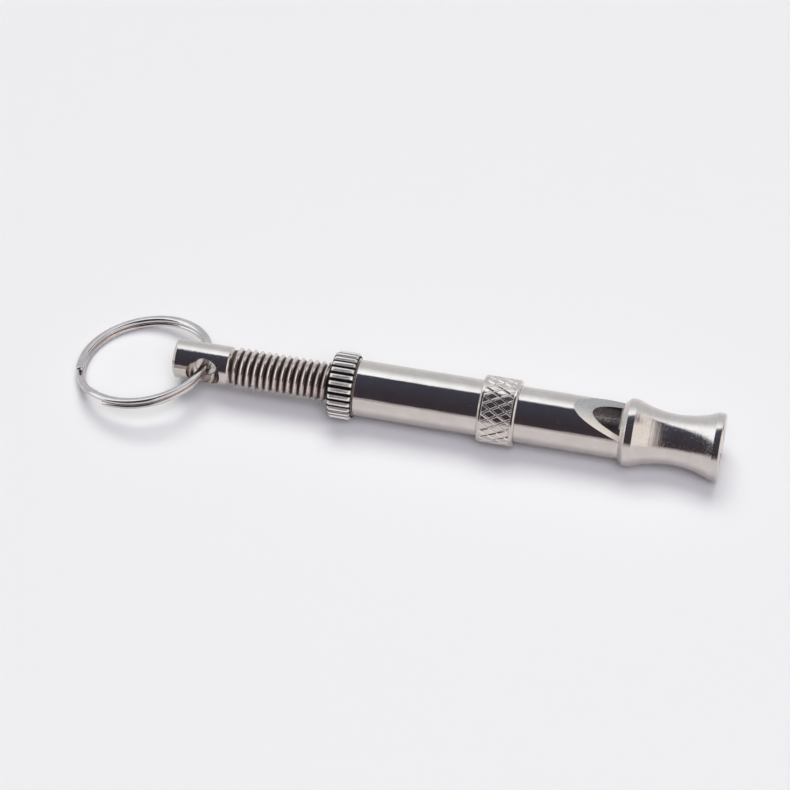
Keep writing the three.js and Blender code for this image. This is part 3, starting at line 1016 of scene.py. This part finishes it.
def table():
    mesh = bpy.data.meshes.new("table")
    signs = [(-1, -1), (1, -1), (1, 1), (-1, 1)]
    corners = [(x * TABLE_HALF, y * TABLE_HALF, 0) for x, y in signs]
    mesh.from_pydata(corners, [], [[0, 1, 2, 3]])
    mesh.materials.append(table_paper())
    sheet = bpy.data.objects.new("table", mesh)
    bpy.context.scene.collection.objects.link(sheet)


def lamp(name, place, size, watts, colour):
    """Soft square lamp facing the whistle. It lights the scene but isn't mirrored in the metal."""
    data = bpy.data.lights.new(name, "AREA")
    data.shape = "SQUARE"
    data.size = size
    data.energy = watts
    data.color = colour
    light = bpy.data.objects.new(name, data)
    light.location = place
    aim = Vector((0, 0, 0)) - Vector(place)
    light.rotation_euler = aim.to_track_quat("-Z", "Y").to_euler()
    light.visible_glossy = False
    light.visible_camera = False
    bpy.context.scene.collection.objects.link(light)


# What the metal mirrors. Levels are brightnesses, elevations run from the front, over the top, to
# the back, and a soft edge runs between two values of a direction's x or y.
BACK_CARD_NORMAL = Vector((-0.56, 0.763, -0.323)).normalized()
BACK_CARD_EDGE = 0.012
BACK_CARD_TOP = {"elevation": math.radians(112), "level": 1.62}
BACK_CARD_FOOT = {"elevation": math.radians(150), "level": 0.80}
BACK_CARD_TINT = (0.94, 1.0, 1.05)
RIGHT_CARD = (1.18, 1.15, 1.12)
RIGHT_CARD_EDGE = (0.19, 0.42)
GAP_LEFT_EDGE = (0.45, 0.66)
GAP_RIGHT_EDGE = (0.70, 0.97)
GAP_NEAR_EDGE = (-0.1, 0.2)
CEILING_FRONT = (0.058, 0.050, 0.064)
CEILING_BACK = (0.068, 0.074, 0.108)
HORIZON = (0.62, 0.60, 0.62)


def mirrored_sky(nodes, direction):
    """A dark ceiling with a strip of light along the front horizon, a card behind, and a card to
    the right with a gap in its rear half."""
    x, y, z = nodes.split(direction)
    elevation = nodes.math("ARCTAN2", z, nodes.math("MULTIPLY", y, -1.0))

    ceiling = nodes.step(elevation, math.radians(20), math.radians(110))
    sky = nodes.mix(ceiling, rgb(*CEILING_FRONT), rgb(*CEILING_BACK))
    horizon = nodes.step(elevation, math.radians(5), math.radians(9), 1.0, 0.0)
    sky = nodes.mix(horizon, sky, rgb(*HORIZON))

    right_of_gap = nodes.step(x, *GAP_RIGHT_EDGE)
    gap = nodes.math("SUBTRACT", nodes.step(x, *GAP_LEFT_EDGE), right_of_gap)
    gap = nodes.math("MULTIPLY", gap, nodes.step(y, *GAP_NEAR_EDGE))
    solid = nodes.math("SUBTRACT", 1.0, gap)
    right_card = nodes.math("MULTIPLY", nodes.step(x, *RIGHT_CARD_EDGE), solid)
    sky = nodes.mix(right_card, sky, rgb(*RIGHT_CARD))

    dot = {0: direction, 1: BACK_CARD_NORMAL}
    facing = nodes.add("ShaderNodeVectorMath", dot, operation="DOT_PRODUCT").outputs["Value"]
    back_card = nodes.step(facing, -BACK_CARD_EDGE, BACK_CARD_EDGE)
    top, foot = BACK_CARD_TOP, BACK_CARD_FOOT
    fall = nodes.step(elevation, top["elevation"], foot["elevation"], top["level"], foot["level"])
    level = nodes.math("MULTIPLY", back_card, fall)
    bright = nodes.vector(*[nodes.math("MULTIPLY", level, tint) for tint in BACK_CARD_TINT])
    return nodes.mix(back_card, sky, bright)


def studio():
    """World that only the metal and the camera see: the lamps alone light the table."""
    scene = bpy.context.scene
    surroundings = bpy.data.worlds.new("studio")
    surroundings.use_nodes = True
    scene.world = surroundings
    surroundings.cycles_visibility.diffuse = False
    nodes = Nodes(surroundings.node_tree)
    direction = nodes.add("ShaderNodeTexCoord").outputs["Generated"]
    seen = nodes.add("ShaderNodeLightPath").outputs["Is Camera Ray"]
    colour = nodes.mix(seen, mirrored_sky(nodes, direction), rgb(*BACKDROP))
    background = nodes.add("ShaderNodeBackground", {"Color": colour, "Strength": 1.0})
    nodes.add("ShaderNodeOutputWorld", {0: background.outputs[0]})
    scene.view_settings.view_transform = "Standard"


# VIEW_WIDTH is the width seen at the whistle, and SENSOR the camera's own, in its usual millimetres.
CAMERA_AZIMUTH = math.radians(12.2)
CAMERA_ELEVATION = math.radians(49.7)
CAMERA_DISTANCE = 0.45
SENSOR = 36.0
VIEW_WIDTH = 0.112


def camera():
    low, high = cad_box
    middle = (Vector(low) + Vector(high)) / 2
    away = Vector((
        math.sin(CAMERA_AZIMUTH) * math.cos(CAMERA_ELEVATION),
        -math.cos(CAMERA_AZIMUTH) * math.cos(CAMERA_ELEVATION),
        math.sin(CAMERA_ELEVATION),
    ))
    data = bpy.data.cameras.new("camera")
    data.sensor_width = SENSOR
    data.lens = SENSOR * CAMERA_DISTANCE / VIEW_WIDTH
    data.clip_start = 0.01
    data.clip_end = 20
    view = bpy.data.objects.new("camera", data)
    view.location = middle + away * CAMERA_DISTANCE
    view.rotation_euler = away.to_track_quat("Z", "Y").to_euler()
    bpy.context.scene.collection.objects.link(view)
    bpy.context.scene.camera = view


whistle()
table()
lamp("front_lamp", (0.20, -0.52, 0.92), size=0.60, watts=4.8, colour=(0.91, 0.885, 1.0))
lamp("top_lamp", (-0.12, 0.50, 1.40), size=0.90, watts=12.0, colour=(1.02, 1.035, 0.95))
lamp("sky_lamp", (0.0, 0.0, 1.60), size=3.20, watts=12.8, colour=(0.98, 0.97, 0.99))
studio()
camera()
